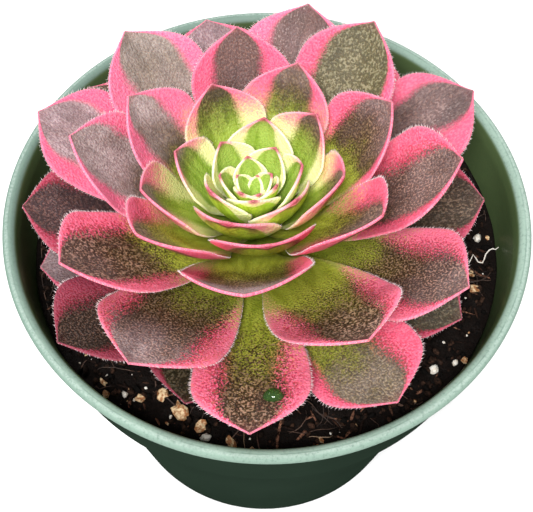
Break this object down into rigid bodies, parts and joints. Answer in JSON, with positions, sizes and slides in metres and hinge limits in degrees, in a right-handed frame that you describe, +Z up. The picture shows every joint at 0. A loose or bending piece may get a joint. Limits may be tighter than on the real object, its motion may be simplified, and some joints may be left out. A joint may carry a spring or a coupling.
{
  "type": "potted aeonium",
  "caption": "Low rosette of spoon-shaped succulent leaves with pink margins, on a short stem in soil, in a round tapered nursery pot with a wide rolled rim.",
  "frame": {"origin": "centre of the pot's base, on the surface it stands on", "axes": "+Z up along the pot's axis; -Y is the front, the side the picture looks at; +X to the right of the picture"},
  "size_m": [0.108, 0.108, 0.1157],
  "materials": {
    "pot": "dark green moulded plastic, satin, with the rim scuffed to a pale grey-green",
    "soil": "damp peat mix with bark, sand-coloured grit and perlite grains",
    "stem": "green-brown woody stem with leaf scars",
    "heart_leaf": "waxy succulent leaf, lime green with cream margins and maroon points",
    "young_leaf": "waxy succulent leaf, green with a speckled maroon centre and pink to cream margins",
    "outer_leaf": "waxy succulent leaf, speckled maroon brown over olive with hot pink margins and short white hairs"
  },
  "bodies": {
    "root": {"pot": "pot", "soil": "soil", "stem": "stem", "heart": "heart_leaf", "leaf_10": "young_leaf", "leaf_11": "young_leaf", "leaf_12": "young_leaf", "leaf_13": "young_leaf", "leaf_14": "young_leaf", "leaf_15": "young_leaf", "leaf_16": "young_leaf", "leaf_17": "young_leaf", "leaf_18": "young_leaf", "leaf_19": "young_leaf", "leaf_20": "young_leaf", "leaf_21": "young_leaf", "leaf_22": "young_leaf", "leaf_23": "young_leaf", "leaf_24": "young_leaf", "leaf_25": "young_leaf", "leaf_26": "outer_leaf", "leaf_27": "outer_leaf", "leaf_28": "outer_leaf", "leaf_29": "outer_leaf", "leaf_30": "outer_leaf", "leaf_31": "outer_leaf", "leaf_32": "outer_leaf", "leaf_33": "outer_leaf", "leaf_34": "outer_leaf", "leaf_35": "outer_leaf", "leaf_36": "outer_leaf", "leaf_37": "outer_leaf", "leaf_38": "outer_leaf", "leaf_39": "outer_leaf", "leaf_40": "outer_leaf", "leaf_41": "outer_leaf", "leaf_42": "outer_leaf", "leaf_43": "outer_leaf", "leaf_44": "outer_leaf", "leaf_45": "outer_leaf", "leaf_46": "outer_leaf", "leaf_47": "outer_leaf", "leaf_48": "outer_leaf", "leaf_49": "outer_leaf", "leaf_50": "outer_leaf", "leaf_51": "outer_leaf", "leaf_52": "outer_leaf", "leaf_53": "outer_leaf", "leaf_54": "outer_leaf"}
  },
  "joints": []
}
